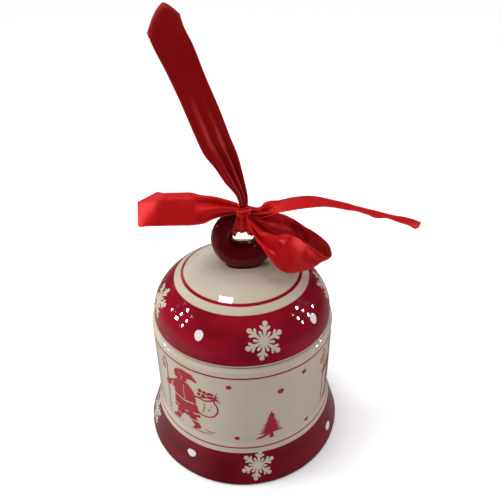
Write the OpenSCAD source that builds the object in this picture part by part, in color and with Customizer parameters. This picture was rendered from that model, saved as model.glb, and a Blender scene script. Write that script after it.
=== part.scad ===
// Bell-shaped ceramic jar with a domed lift-off lid.
// A ceramic ring on the lid carries a satin ribbon, tied in a bow with a hanging loop.
// The jar stands on Z = 0 and its axis is Z. The bow faces -Y.

/* [Jar] */
// Radius of the foot
foot_r = 50; // [48:0.5:52]
// Height of the straight band at the bottom of the foot
foot_h = 2.5; // [1.5:0.5:3]
// Outer radius of the straight wall
wall_r = 43.8; // [43.5:0.1:44]
// Height at which the flared skirt meets the straight wall
skirt_top_z = 23; // [22:0.5:25]
// Thickness of the ceramic
wall_t = 4; // [3.6:0.1:4]
// Thickness of the floor
floor_t = 6; // [5:0.5:8]
// Height of the jar's rim, where the lid rests
rim_z = 67.6; // [67:0.1:68.4]
// How far the rounded shoulder of the rim stands out from the wall
shoulder_out = 0.1; // [0:0.1:0.4]
// Radius of the rounded shoulder
shoulder_r = 2.2; // [1.8:0.1:2.4]

/* [Lid] */
// Outer radius of the lid's edge
lid_r = 42.4; // [42:0.1:43]
// Height of the straight edge below the dome
lid_edge_h = 3; // [2.6:0.1:3.4]
// Height that the dome's elliptical flank would reach on the axis
dome_h = 26.6; // [26:0.1:27]
// Radius inside which the dome's top is flattened
crown_r = 28; // [26:0.5:30]
// How much higher the middle of the flattened top is than its edge
crown_rise = 3.3; // [3:0.1:3.6]
// Gap between the lid's edge and the rim it sits on
seat_gap = 0.1; // [0.05:0.05:0.3]
// Depth of the flange that drops into the jar's mouth
flange_h = 6; // [4:0.5:8]
// Radial thickness of the flange
flange_t = 3; // [2.5:0.1:3.5]
// Radial play between the flange and the mouth
flange_play = 0.7; // [0.4:0.1:1]

/* [Ring handle] */
// Outer radius of the ring
ring_r = 14.7; // [14.4:0.1:15]
// Radius of the ring's section at its top
ring_tube_r = 4.7; // [4.4:0.1:4.8]
// How much thicker the section is at the bottom, in radius
ring_swell = 1.8; // [1.4:0.1:2]
// How far the ring's outline sinks into the lid
ring_sink = 2.4; // [2:0.1:2.8]
// How far the ring sits off the lid's axis
ring_x = 1.1; // [0.8:0.1:1.4]
// Length of the squashed foot that joins the ring to the lid
ring_foot_l = 17.5; // [16:0.5:18.5]
// Width of that foot
ring_foot_w = 12.4; // [11.6:0.2:13]

/* [Ribbon] */
// Width of the satin ribbon
ribbon_w = 15; // [14.5:0.5:15.5]
// Thickness of the plain ribbon solids
ribbon_t = 0.8; // [0.7:0.1:0.8]
// Radius of the knot
knot_r = 2.4; // [2.2:0.1:2.5]
// Length of the knot along X
knot_l = 5; // [4.6:0.2:5.4]

/* [Hidden] */
$fn = 96;
eps = 0.01;

ceramic_cream = [0.86, 0.82, 0.74];
ceramic_crimson = [0.55, 0.03, 0.09];
glaze_maroon = [0.25, 0.02, 0.05];
satin_red = [0.74, 0.06, 0.07];
satin_shade = [0.52, 0.03, 0.04];

// jar
skirt_power = 1.14;
skirt_steps = 14;
foot_round = 1.2;
corner_r = 5;
rim_round = 0.8;
arc_steps = 8;
mouth_r = wall_r - wall_t + 0.4;

// lid
lid_z = rim_z + seat_gap;
dome_z = lid_z + lid_edge_h;
dome_power = 2;
cavity_power = 2.4;
cavity_h = 19.5;
flank_steps = 20;
crown_steps = 10;
crown_power = 4.8;
flange_r = mouth_r - flange_play;
edge_round = 0.8;
crown_edge_z = dome_z + dome_h * pow(1 - pow(crown_r / lid_r, dome_power), 1 / dome_power);
lid_top_z = crown_edge_z + crown_rise;

// ring
ring_z = lid_top_z + ring_r - ring_sink;
ring_mid_r = ring_r - ring_tube_r;
ring_steps = 48;
ring_sides = 16;
foot_rise = 1.1;
foot_depth = 1.5;

// ribbon wrapped round the top of the ring
wrap_angle = 36;
wrap_gap = 0.15;
wrap_t = 0.7;

// knot, on the front of the ring's top
knot_at = [ring_x + 0.2, -4.8, ring_z + ring_mid_r + 6.5];

// Each ribbon route is a list of stations: [middle of the ribbon, direction of its width, width there].
// Every middle point is counted from the knot.
face_up = [0, 0.7, 0.7];
face_right = [0.95, 0.12, 0.28];

left_loop = [
    [[-2.2, -1.2, 2], face_up, 4],
    [[-8, -0.5, 2.2], face_up, 8],
    [[-15.5, -0.2, 2], face_up, 12],
    [[-24.5, 0.3, 1.6], face_up, 15],
    [[-33.5, 0.8, 1.5], face_up, 15],
    [[-41, 1.5, 0.2], [0, 0.8, 0.6], 15],
    [[-45, 4, -2], [-0.1, 0.9, 0.4], 15],
    [[-42, 6.2, -3.2], [0, 0.8, 0.6], 15],
    [[-34, 5.5, -2.4], face_up, 15],
    [[-25, 5, -1.8], face_up, 14.5],
    [[-16, 4.2, -0.8], face_up, 11],
    [[-8.5, 2.6, 0.4], face_up, 6.5],
    [[-2.2, 1.1, 1.2], face_up, 3]];

right_loop = [
    [[2.2, -1.9, -1.2], [0.4, 0.9, 0.1], 3],
    [[4.6, -4.4, -6], [0.4, 0.9, 0], 6],
    [[8.4, -6.6, -10.9], [0.2, 0.95, 0.2], 9],
    [[12.6, -8.2, -13.6], [0.25, 0.8, 0.5], 13],
    [[18, -9.2, -16], [0.2, 0.5, 0.8], 15],
    [[23, -9.2, -18], [0.2, 0.3, 0.9], 15],
    [[27.5, -8.2, -19.5], [0.1, -0.2, 1], 15],
    [[32, -6.2, -21], [0, -0.6, 0.8], 15],
    [[36.5, -3.2, -22.7], [0, -0.75, 0.65], 15],
    [[38.6, 0.8, -23.6], [0, -0.65, 0.75], 15],
    [[36.6, 4.8, -20.4], [0, -0.7, 0.7], 15],
    [[31.7, 5.8, -16], [0, -0.8, 0.6], 15],
    [[24.8, 4.8, -11.4], [0, -0.7, 0.7], 15],
    [[16.5, 1, -7], [0, -0.5, 0.85], 14],
    [[10.5, -1.8, -5], [0, -0.35, 0.95], 8],
    [[6, -1.8, -2.2], [0, -0.4, 0.9], 4.5],
    [[2.2, -1, -0.8], [0, -0.3, 0.95], 2.2]];

right_tail = [
    [[2.2, 1, 1.4], [0, 1, 0.2], 3],
    [[5, 1.2, 1], [0.1, 1, 0.2], 4.5],
    [[9.8, 2, 0.4], [0, 1, 0.1], 9.5],
    [[16.5, 2.8, 1], [0, 1, -0.05], 15],
    [[26.5, 4.8, 2], [0.15, 1, -0.05], 15],
    [[37.6, 6.8, 0], [0.25, 0.95, -0.15], 15],
    [[47.2, 8.8, -3.2], [0.3, 0.9, -0.3], 15],
    [[57.2, 9.8, -6.6], [0.3, 0.9, -0.3], 15],
    [[66.8, 10.8, -9.5], [0.35, 0.9, -0.3], 15],
    [[74.5, 11.8, -12], [0.35, 0.9, -0.25], 15],
    [[81.5, 12.8, -15.2], [0.4, 0.9, -0.25], 15]];

left_tail = [
    [[-2.2, 2.5, 0.4], [0, 0.8, 0.6], 2.6],
    [[-8.5, 5.6, -0.6], [0, 0.8, 0.6], 6],
    [[-15.5, 8.6, -2.8], [0, 0.75, 0.65], 10.5],
    [[-22.5, 11, -4.8], [0.1, 0.7, 0.7], 14],
    [[-30, 12, -6.2], [0.1, 0.7, 0.7], 15],
    [[-38, 12.5, -7.6], [0.1, 0.75, 0.65], 15]];

hanging_route = [
    [[0.2, 1.6, 3], [1, 0, 0], 3.4],
    [[-1.2, 3.6, 6.5], [1, 0.05, 0.1], 6],
    [[-3.9, 6.8, 12.2], [0.96, 0.1, 0.24], 8.5],
    [[-7.3, 9.8, 18.8], face_right, 11.5],
    [[-11.6, 13.8, 27], face_right, 14.5],
    [[-16.1, 18.3, 37], face_right, 15],
    [[-21.6, 23.8, 49.7], face_right, 15],
    [[-26, 27.4, 58.7], face_right, 15],
    [[-30.4, 31.4, 68.5], [0.93, 0.1, 0.35], 15],
    [[-31.6, 34, 72.2], [0.85, 0.05, 0.5], 15],
    [[-31.8, 38, 71.8], [0.86, 0.05, 0.5], 15],
    [[-31.2, 39.5, 67], [0.9, 0.1, 0.4], 15],
    [[-27.8, 35.6, 56.5], face_right, 15],
    [[-23.8, 31, 46.5], face_right, 15],
    [[-18.8, 25, 34.5], face_right, 15],
    [[-14, 19.5, 24.8], face_right, 13.5],
    [[-8.4, 13.4, 16.8], face_right, 10],
    [[-4.2, 8.6, 11], [0.97, 0.1, 0.22], 7],
    [[-1.2, 5.2, 6.6], [1, 0.05, 0.1], 5.5],
    [[0.2, 2.9, 3.2], [1, 0, 0], 3.4]];

route_steps = 4;

// ---------- helpers ----------

function unit(v) = v / norm(v);

// Point on a smooth curve through b and c, a share t of the way from b to c
function smooth(a, b, c, d, t) =
    0.5 * (2 * b + (c - a) * t + (2 * a - 5 * b + 4 * c - d) * t * t
           + (3 * b - a - 3 * c + d) * t * t * t);

function at(list, i) = list[max(0, min(len(list) - 1, i))];

function along(route, column) = [
    for (i = [0 : len(route) - 2], k = [0 : route_steps - 1])
        smooth(at(route, i - 1)[column], route[i][column], route[i + 1][column],
               at(route, i + 2)[column], k / route_steps),
    route[len(route) - 1][column]];

// The four corners of the ribbon's section at each step along its route
function sections(middles, widths_way, widths) = [
    for (i = [0 : len(middles) - 1])
        let (ahead = at(middles, i + 1) - at(middles, i - 1),
             across = unit(widths_way[i]),
             through = unit(cross(ahead, across)) * ribbon_t / 2,
             half = across * min(widths[i], ribbon_w) / 2)
        for (corner = [half + through, through - half, -half - through, half - through])
            middles[i] + corner];

function tube_faces(rings) = concat(
    [[0, 1, 2], [0, 2, 3]],
    [for (i = [0 : rings - 2], k = [0 : 3], side = [0, 1])
        let (a = 4 * i + k, b = 4 * i + (k + 1) % 4)
        side == 0 ? [a, a + 4, b] : [b, a + 4, b + 4]],
    [let (last = 4 * (rings - 1)) each [[last, last + 2, last + 1], [last, last + 3, last + 2]]]);

// A flat ribbon swept along a route that is counted from the knot
module ribbon(route) {
    middles = along(route, 0);
    translate(knot_at)
        polyhedron(sections(middles, along(route, 1), along(route, 2)), tube_faces(len(middles)));
}

// ---------- outlines ----------

function skirt_outline() = [
    for (i = [0 : skirt_steps])
        let (t = 1 - i / skirt_steps)
        [wall_r + (foot_r - wall_r) * pow(t, skirt_power), skirt_top_z - (skirt_top_z - foot_h) * t]];

function arc(centre, radius, from, to) = [
    for (i = [0 : arc_steps])
        let (a = from + (to - from) * i / arc_steps)
        centre + radius * [cos(a), sin(a)]];

// Elliptical outline from radius r at the springing line up to the angle last
function flank(r, height, power, last) = [
    for (i = [0 : flank_steps])
        let (a = last * i / flank_steps)
        [r * pow(cos(a), 2 / power), dome_z + height * pow(sin(a), 2 / power)]];

// Outline of the flattened top, from its edge to the axis
function crown() = [
    for (i = [1 : crown_steps])
        let (r = crown_r * (1 - i / crown_steps))
        [r, lid_top_z - crown_rise * pow(r / crown_r, crown_power)]];

function dome_outline() = concat(flank(lid_r, dome_h, dome_power, acos(crown_r / lid_r)), crown());

// ---------- sub-parts ----------

module jar_body() {
    rim_r = wall_r + shoulder_out;
    cavity_bottom_r = foot_r - wall_t - 1.6;
    color(ceramic_cream)
        rotate_extrude()
            difference() {
                polygon(concat(
                    [[0, 0]],
                    arc([foot_r - foot_round, foot_round], foot_round, -90, 0),
                    skirt_outline(),
                    [[wall_r, rim_z - 8]],
                    arc([rim_r - shoulder_r, rim_z - shoulder_r], shoulder_r, 0, 90),
                    arc([mouth_r + rim_round, rim_z - rim_round], rim_round, 90, 180),
                    [[mouth_r, rim_z + eps], [0, rim_z + eps]]));
                polygon(concat(
                    [[0, floor_t]],
                    arc([cavity_bottom_r - corner_r, floor_t + corner_r], corner_r, -90, 0),
                    [[mouth_r, skirt_top_z + 2], [mouth_r, rim_z + 1], [0, rim_z + 1]]));
            }
}

module lid() {
    inner_r = flange_r - flange_t;
    color(ceramic_crimson)
        rotate_extrude()
            difference() {
                polygon(concat(
                    [[0, lid_z - flange_h], [flange_r, lid_z - flange_h], [flange_r, lid_z]],
                    arc([lid_r - edge_round, lid_z + edge_round], edge_round, -90, 0),
                    dome_outline()));
                polygon(concat(
                    [[0, lid_z - flange_h - 1], [inner_r, lid_z - flange_h - 1]],
                    flank(inner_r, cavity_h, cavity_power, 90)));
            }
}

// The dome's outer solid, which the ring is luted onto
module dome_solid() {
    rotate_extrude()
        polygon(concat([[0, dome_z - 1], [lid_r, dome_z - 1]], dome_outline()));
}

// Radius of the ring's section at angle a round the ring: it is thickest at the bottom
function section_r(a) = ring_tube_r + ring_swell * pow((1 - sin(a)) / 2, 2);

function ring_points() = [
    for (i = [0 : ring_steps - 1], k = [0 : ring_sides - 1])
        let (a = 360 * i / ring_steps,
             b = 360 * k / ring_sides,
             out = ring_r - section_r(a) * (1 - cos(b)))
        [out * cos(a), section_r(a) * sin(b), out * sin(a)]];

function ring_faces() = [
    for (i = [0 : ring_steps - 1], k = [0 : ring_sides - 1])
        let (next = (i + 1) % ring_steps, up = (k + 1) % ring_sides)
        [ring_sides * i + k, ring_sides * next + k, ring_sides * next + up, ring_sides * i + up]];

module ring_handle() {
    foot_r = ring_foot_w / 2;
    color(glaze_maroon)
        difference() {
            union() {
                translate([ring_x, 0, ring_z])
                    polyhedron(ring_points(), ring_faces());
                translate([ring_x, 0, lid_top_z - foot_depth])
                    hull()
                        for (side = [-1, 1])
                            translate([side * (ring_foot_l / 2 - foot_r), 0, 0])
                                cylinder(r = foot_r, h = foot_depth + foot_rise, $fn = 32);
            }
            dome_solid();
        }
}

// A sleeve of ribbon hugging the top of the ring
module ribbon_wrap() {
    color(satin_red)
        translate([ring_x, 0, ring_z])
            rotate([90, 0, 0])
                rotate([0, 0, 90 - wrap_angle / 2])
                    rotate_extrude(angle = wrap_angle)
                        translate([ring_mid_r, 0])
                            difference() {
                                circle(ring_tube_r + wrap_gap + wrap_t);
                                circle(ring_tube_r + wrap_gap);
                            }
}

module ribbon_knot() {
    bulge = 0.7;
    color(satin_red)
        translate(knot_at)
            rotate([0, 90, 0])
                rotate_extrude()
                    polygon([
                        [0, -knot_l / 2], [knot_r - bulge, -knot_l / 2], [knot_r, -knot_l / 2 + bulge],
                        [knot_r, knot_l / 2 - bulge], [knot_r - bulge, knot_l / 2], [0, knot_l / 2]]);
}

module bow_loop_left() {
    color(satin_red) ribbon(left_loop);
}

module bow_loop_right() {
    color(satin_red) ribbon(right_loop);
}

module ribbon_tail_right() {
    color(satin_red) ribbon(right_tail);
}

module ribbon_tail_left() {
    color(satin_shade) ribbon(left_tail);
}

module hanging_loop() {
    color(satin_shade) ribbon(hanging_route);
}

jar_body();
lid();
ring_handle();
ribbon_wrap();
ribbon_knot();
bow_loop_left();
bow_loop_right();
ribbon_tail_right();
ribbon_tail_left();
hanging_loop();
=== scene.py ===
"""Looks for a bell-shaped ceramic jar: glazes, printed motifs, a glossy ring and a satin ribbon bow."""
import math

import bpy
import numpy as np
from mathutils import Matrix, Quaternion, Vector, noise


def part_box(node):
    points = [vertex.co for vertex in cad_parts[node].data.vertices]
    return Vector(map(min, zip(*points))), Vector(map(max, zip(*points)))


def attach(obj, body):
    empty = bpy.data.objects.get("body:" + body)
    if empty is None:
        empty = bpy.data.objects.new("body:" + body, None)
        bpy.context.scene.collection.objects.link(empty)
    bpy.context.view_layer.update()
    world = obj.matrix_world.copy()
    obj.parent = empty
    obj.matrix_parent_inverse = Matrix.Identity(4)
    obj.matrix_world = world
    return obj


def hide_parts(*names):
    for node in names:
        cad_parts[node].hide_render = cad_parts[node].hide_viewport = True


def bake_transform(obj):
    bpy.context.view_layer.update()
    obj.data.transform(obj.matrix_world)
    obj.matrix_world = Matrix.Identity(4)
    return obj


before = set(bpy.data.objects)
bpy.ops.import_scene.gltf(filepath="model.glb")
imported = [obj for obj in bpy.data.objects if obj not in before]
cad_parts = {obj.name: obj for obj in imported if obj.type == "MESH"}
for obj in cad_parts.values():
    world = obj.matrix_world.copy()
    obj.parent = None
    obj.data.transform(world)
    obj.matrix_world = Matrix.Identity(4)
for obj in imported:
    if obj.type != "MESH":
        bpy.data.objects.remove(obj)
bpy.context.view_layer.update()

MM = 0.001


def middle(node):
    """Middle of a CAD node's box, in millimetres."""
    low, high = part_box(node)
    return np.array((low + high) / 2) / MM


# ---------- places that come from the frame, in millimetres ----------

KNOT = middle("ribbon_knot")
RING_X = middle("ring_handle")[0]
RING_TOP_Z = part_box("ring_handle")[1].z / MM
FOOT_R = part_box("jar_body")[1].x / MM
RIM_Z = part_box("jar_body")[1].z / MM
LID_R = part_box("lid")[1].x / MM
LID_TOP_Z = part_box("lid")[1].z / MM

# ---------- design values of the part, in millimetres ----------

WALL_R = 43.8
FOOT_H = 2.5
SKIRT_TOP_Z = 23
SKIRT_POWER = 1.14
DOME_Z = RIM_Z + 3.1
DOME_H = 26.6
CROWN_R = 28
CROWN_RISE = 3.3
CROWN_POWER = 4.8
RING_R = 14.7
RING_TUBE_R = 4.7
RING_SWELL = 1.8
RING_FOOT_R = 6.2
RING_FOOT_STRETCH = 2.6
RING_Z = RING_TOP_Z - RING_R
RIBBON_W = 15

# ---------- printed bands, in millimetres ----------

SKIRT_BAND_Z = 17.3
LOW_LINE_Z = 20
HIGH_LINE_Z = 63.1
LID_BAND_LOW_Z = 68.9
LID_BAND_TOP_Z = 88.5
LID_LINE_R = 27.6
LID_LINE_FROM_Z = 86
LID_LINE_FORWARD = 0.9
SKIRT_EDGE_R = 44.9


# ---------- camera, light and floor ----------

CAMERA_AT = (0, -0.1969, 0.2175)
CAMERA_YAW, CAMERA_PITCH, CAMERA_ROLL = 1.19, 30.75, 0.63


def make_camera():
    yaw, pitch, roll = math.radians(CAMERA_YAW), math.radians(CAMERA_PITCH), math.radians(CAMERA_ROLL)
    ahead = Vector((math.sin(yaw) * math.cos(pitch), math.cos(yaw) * math.cos(pitch), -math.sin(pitch)))
    camera = bpy.data.objects.new("camera", bpy.data.cameras.new("camera"))
    camera.data.lens = 36
    camera.data.sensor_width = 36
    camera.data.clip_start = 0.01
    camera.location = CAMERA_AT
    camera.rotation_mode = "QUATERNION"
    camera.rotation_quaternion = Quaternion(ahead, roll) @ ahead.to_track_quat("-Z", "Y")
    bpy.context.scene.collection.objects.link(camera)
    bpy.context.scene.camera = camera
    return camera


def area_light(name, at, towards, size, power, colour=(1, 1, 1), turn=0):
    light = bpy.data.lights.new(name, "AREA")
    light.shape = "RECTANGLE"
    light.size, light.size_y = size
    light.energy = power
    light.color = colour
    lamp = bpy.data.objects.new(name, light)
    lamp.location = at
    lamp.rotation_mode = "QUATERNION"
    facing = (Vector(towards) - Vector(at)).to_track_quat("-Z", "Y")
    lamp.rotation_quaternion = facing @ Quaternion((0, 0, 1), math.radians(turn))
    bpy.context.scene.collection.objects.link(lamp)
    return lamp


def sun_light(name, towards, angle, strength):
    """A broad soft sky light, which leaves no highlight of its own in the glaze."""
    light = bpy.data.lights.new(name, "SUN")
    light.angle = math.radians(angle)
    light.energy = strength
    lamp = bpy.data.objects.new(name, light)
    lamp.rotation_mode = "QUATERNION"
    lamp.rotation_quaternion = Vector(towards).to_track_quat("-Z", "Y")
    lamp.visible_glossy = False
    bpy.context.scene.collection.objects.link(lamp)
    return lamp


# rows of small shop lamps on both sides, seen only as sparkles in the glaze
WARM, PLAIN, VIOLET = (1, 0.93, 0.85), (1, 1, 1), (0.75, 0.6, 1)
SHOP_DISTANCE = 0.9
SHOP_HEIGHTS = (0.3, 0.5, 0.7)
SHOP_DEPTHS = (-0.2, 0.0, 0.2)
SHOP_WIDTHS = (0.02, 0.06, 0.03)
SHOP_COLOURS = (PLAIN, VIOLET, PLAIN, WARM)
SHOP_LAMP_HEIGHT = 0.018
SHOP_POWER = 14  # watts for each metre of a lamp's width
SHOP_TURN = 25  # degrees that each lamp is turned further than the one before
SHOP_AIM = (0, 0, 0.085)

# brightness of the surroundings: as seen by the camera, as fill, and by side in the gloss
BACKDROP = 1.05
FILL = 0.20
GLOSS_DIM = 0.07
GLOSS_LEFT = 0.32
GLOSS_RIGHT = 0.12
GLOSS_BACK = 0.15
GLOSS_PANE = 1.3


def make_world():
    """White behind the object, an even fill on it, and a dim room with bright low sides in its gloss."""
    world = bpy.data.worlds.new("studio")
    world.use_nodes = True
    tree = world.node_tree

    def node(kind, **settings):
        made = tree.nodes.new(kind)
        for key, value in settings.items():
            setattr(made, key, value)
        return made

    def math_node(operation, a, b):
        made = node("ShaderNodeMath", operation=operation)
        for socket, value in zip(made.inputs, (a, b)):
            if isinstance(value, bpy.types.NodeSocket):
                tree.links.new(value, socket)
            else:
                socket.default_value = value
        return made.outputs[0]

    def step(value, low, high):
        made = node("ShaderNodeMapRange", interpolation_type="SMOOTHSTEP")
        tree.links.new(value, made.inputs["Value"])
        made.inputs["From Min"].default_value = low
        made.inputs["From Max"].default_value = high
        return made.outputs["Result"]

    ways = node("ShaderNodeSeparateXYZ")
    tree.links.new(node("ShaderNodeTexCoord").outputs["Generated"], ways.inputs[0])
    right, back, up = ways.outputs
    low = math_node("SUBTRACT", 1.0, step(up, -0.35, 0.0))
    left_glow = math_node("MULTIPLY", math_node("SUBTRACT", 1.0, step(right, -0.95, -0.35)), GLOSS_LEFT)
    right_glow = math_node("MULTIPLY", step(right, 0.4, 0.95), GLOSS_RIGHT)
    back_glow = math_node("MULTIPLY", step(back, 0.1, 0.8), GLOSS_BACK)
    glow = math_node("ADD", math_node("ADD", left_glow, right_glow), back_glow)
    left_half = math_node("SUBTRACT", 1.0, step(right, -0.30, 0.0))
    not_high = math_node("SUBTRACT", 1.0, step(up, 0.5, 0.8))
    not_high = math_node("MULTIPLY", step(up, 0.15, 0.4), not_high)
    pane = math_node("MULTIPLY", math_node("MULTIPLY", step(back, 0.5, 0.85), left_half), not_high)
    glow = math_node("ADD", math_node("MULTIPLY", low, glow), math_node("MULTIPLY", pane, GLOSS_PANE))
    in_gloss = math_node("ADD", glow, GLOSS_DIM - FILL)
    path = node("ShaderNodeLightPath").outputs
    strength = math_node("ADD", FILL, math_node("MULTIPLY", path["Is Glossy Ray"], in_gloss))
    strength = math_node("ADD", strength, math_node("MULTIPLY", path["Is Camera Ray"], BACKDROP - FILL))
    tree.links.new(strength, tree.nodes["Background"].inputs["Strength"])
    tree.nodes["Background"].inputs["Color"].default_value = (1, 1, 1, 1)
    bpy.context.scene.world = world


def make_studio():
    bpy.context.scene.view_settings.view_transform = "Standard"
    make_world()
    sun_light("sky", (0.30, -0.22, -0.93), 90, 3.3)
    area_light("window", (-0.29, 0.13, 1.35), (0, 0, 0.09), (0.13, 0.27), 2.4, (0.86, 0.95, 1))
    area_light("side", (-0.95, -0.15, 0.40), (0, 0, 0.04), (0.5, 0.5), 1.6).visible_glossy = False
    number = 0
    for side in (-1, 1):
        for height in SHOP_HEIGHTS:
            for depth in SHOP_DEPTHS:
                width = SHOP_WIDTHS[number % len(SHOP_WIDTHS)]
                colour = SHOP_COLOURS[number % len(SHOP_COLOURS)]
                area_light(f"shop_lamp_{number}", (side * SHOP_DISTANCE, depth, height), SHOP_AIM,
                           (width, SHOP_LAMP_HEIGHT), SHOP_POWER * width, colour, SHOP_TURN * number)
                number += 1

    bpy.ops.mesh.primitive_plane_add(size=12, location=(0, 0, 0))
    floor = bpy.context.object
    floor.name = "floor"
    floor.visible_glossy = False
    paper = Recipe("floor_paper")
    paper.set("Roughness", 0.9)
    paper.set("Specular IOR Level", 0.1)
    grain = paper.noise(paper.where(), 300, 3)
    paper.set("Base Color", paper.mix(grain, (0.84, 0.84, 0.84), (0.87, 0.87, 0.87)))
    floor.data.materials.append(paper.material)


# ---------- materials ----------

class Recipe:
    """A material's node tree, with short calls for the nodes it uses."""

    def __init__(self, name):
        self.material = bpy.data.materials.new(name)
        self.material.use_nodes = True
        self.tree = self.material.node_tree
        self.shader = self.tree.nodes["Principled BSDF"]

    def add(self, kind, **settings):
        node = self.tree.nodes.new(kind)
        for key, value in settings.items():
            setattr(node, key, value)
        return node

    def put(self, value, socket):
        if isinstance(value, bpy.types.NodeSocket):
            self.tree.links.new(value, socket)
        elif isinstance(value, tuple) and socket.type == "RGBA":
            socket.default_value = (*value, 1)
        else:
            socket.default_value = value

    def set(self, name, value):
        self.put(value, self.shader.inputs[name])

    def where(self):
        return self.add("ShaderNodeTexCoord").outputs["Object"]

    def math(self, operation, a, b=0.0):
        node = self.add("ShaderNodeMath", operation=operation)
        self.put(a, node.inputs[0])
        self.put(b, node.inputs[1])
        return node.outputs[0]

    def mix(self, share, a, b):
        node = self.add("ShaderNodeMix", data_type="RGBA")
        self.put(share, node.inputs["Factor"])
        self.put(a, node.inputs[6])
        self.put(b, node.inputs[7])
        return node.outputs[2]

    def noise(self, where, scale, detail=2.0, roughness=0.5):
        node = self.add("ShaderNodeTexNoise")
        self.put(where, node.inputs["Vector"])
        self.put(scale, node.inputs["Scale"])
        self.put(detail, node.inputs["Detail"])
        self.put(roughness, node.inputs["Roughness"])
        return node.outputs["Fac"]

    def above(self, value, edge, soft):
        """0 below edge and 1 above it, soft wide between them."""
        node = self.add("ShaderNodeMapRange", interpolation_type="SMOOTHSTEP")
        self.put(value, node.inputs["Value"])
        self.put(edge - soft / 2, node.inputs["From Min"])
        self.put(edge + soft / 2, node.inputs["From Max"])
        return node.outputs["Result"]

    def below(self, value, edge, soft):
        return self.math("SUBTRACT", 1.0, self.above(value, edge, soft))

    def band(self, value, centre, width, soft):
        """1 within width of centre, and 0 elsewhere."""
        off = self.math("ABSOLUTE", self.math("SUBTRACT", value, centre))
        return self.below(off, width / 2, soft)

    def both(self, a, b):
        return self.math("MULTIPLY", a, b)

    def either(self, a, b):
        return self.math("MAXIMUM", a, b)

    def bump(self, height, depth, strength=1.0):
        node = self.add("ShaderNodeBump")
        self.put(height, node.inputs["Height"])
        self.put(depth, node.inputs["Distance"])
        self.put(strength, node.inputs["Strength"])
        self.set("Normal", node.outputs["Normal"])
        return node.outputs["Normal"]


CREAM = (0.48, 0.425, 0.340)
# brownish tone for painted reflection and shade of the room on the cream glaze
CREAM_PAINTED_REFLECTION_SHADE = (0.36, 0.30, 0.215)
CREAM_SHADE = (0.40, 0.35, 0.275)
CRIMSON = (0.26, 0.003, 0.014)
CRIMSON_DEEP = (0.12, 0.001, 0.006)
# the skirt's crimson is darker than the lid's: painted shade, standing in for the dark floor reflected in the
# skirt
SKIRT_CRIMSON_PAINTED_SHADE = (0.15, 0.003, 0.010)
SKIRT_DEEP_PAINTED_SHADE = (0.075, 0.001, 0.005)
INK = (0.24, 0.012, 0.020)
CLAY = (0.62, 0.52, 0.42)
DOT_WHITE = (0.66, 0.61, 0.62)
DOT_SHADE = (0.58, 0.54, 0.56)
SPECKLE = (0.40, 0.32, 0.24)
PRINT_INK = (0.30, 0.018, 0.026)
RING_MAROON = (0.10, 0.0006, 0.004)
RING_DEEP = (0.06, 0.0003, 0.002)


def glaze_finish(recipe, where, roughness=0.045, level=0.5):
    """Glossy glaze: faint waves in its surface, and a few pinholes."""
    waves = recipe.noise(where, 55, 2)
    pits = recipe.above(recipe.noise(where, 900, 1), 0.76, 0.04)
    height = recipe.math("SUBTRACT", waves, recipe.math("MULTIPLY", pits, 0.35))
    recipe.bump(height, 0.00018, 0.6)
    smear = recipe.noise(where, 140, 3)
    low, high = roughness * 0.8, roughness * 1.35
    recipe.set("Roughness", recipe.math("ADD", recipe.math("MULTIPLY", smear, high - low), low))
    recipe.set("Specular IOR Level", level)


def cream_tone(recipe, where):
    cloud = recipe.noise(where, 38, 4, 0.6)
    speckle = recipe.above(recipe.noise(where, 520, 1), 0.71, 0.05)
    # tall brownish streaks at random places: painted reflection and shade of the room, not marks in the glaze
    tall = recipe.add("ShaderNodeMapping")
    recipe.put(where, tall.inputs["Vector"])
    tall.inputs["Scale"].default_value = (1, 1, 0.2)
    painted_reflection_shade = recipe.above(recipe.noise(tall.outputs[0], 24, 2), 0.5, 0.3)
    tone = recipe.mix(cloud, CREAM_SHADE, CREAM)
    tone = recipe.mix(recipe.math("MULTIPLY", painted_reflection_shade, 0.4), tone, CREAM_PAINTED_REFLECTION_SHADE)
    return recipe.mix(recipe.math("MULTIPLY", speckle, 0.25), tone, SPECKLE)


def crimson_tone(recipe, where, deep, bright):
    """Brushed-on glaze: cloudy, with soft smears round the pot."""
    cloud = recipe.noise(where, 34, 4, 0.65)
    smear = recipe.add("ShaderNodeMapping")
    recipe.put(where, smear.inputs["Vector"])
    smear.inputs["Scale"].default_value = (1, 1, 4)
    streak = recipe.noise(smear.outputs[0], 30, 3, 0.5)
    share = recipe.math("MULTIPLY", recipe.math("ADD", cloud, streak), 0.5)
    return recipe.mix(recipe.above(share, 0.5, 0.34), deep, bright)


def axes(recipe, where, forward=0.0):
    """Height and distance from the jar's axis, in metres, as sockets; forward moves the axis to the front."""
    parts = recipe.add("ShaderNodeSeparateXYZ")
    recipe.put(where, parts.inputs[0])
    x2 = recipe.math("POWER", recipe.math("ABSOLUTE", parts.outputs["X"]), 2.0)
    aside = recipe.math("ADD", parts.outputs["Y"], forward)
    y2 = recipe.math("POWER", recipe.math("ABSOLUTE", aside), 2.0)
    reach = recipe.math("SQRT", recipe.math("ADD", x2, y2))
    return parts.outputs["Z"], reach


def wavering(recipe, where, value, amount):
    """value with a hand-painted waver of that amount, in metres."""
    drift = recipe.math("SUBTRACT", recipe.noise(where, 70, 2), 0.5)
    return recipe.math("ADD", value, recipe.math("MULTIPLY", drift, 2 * amount))


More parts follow.
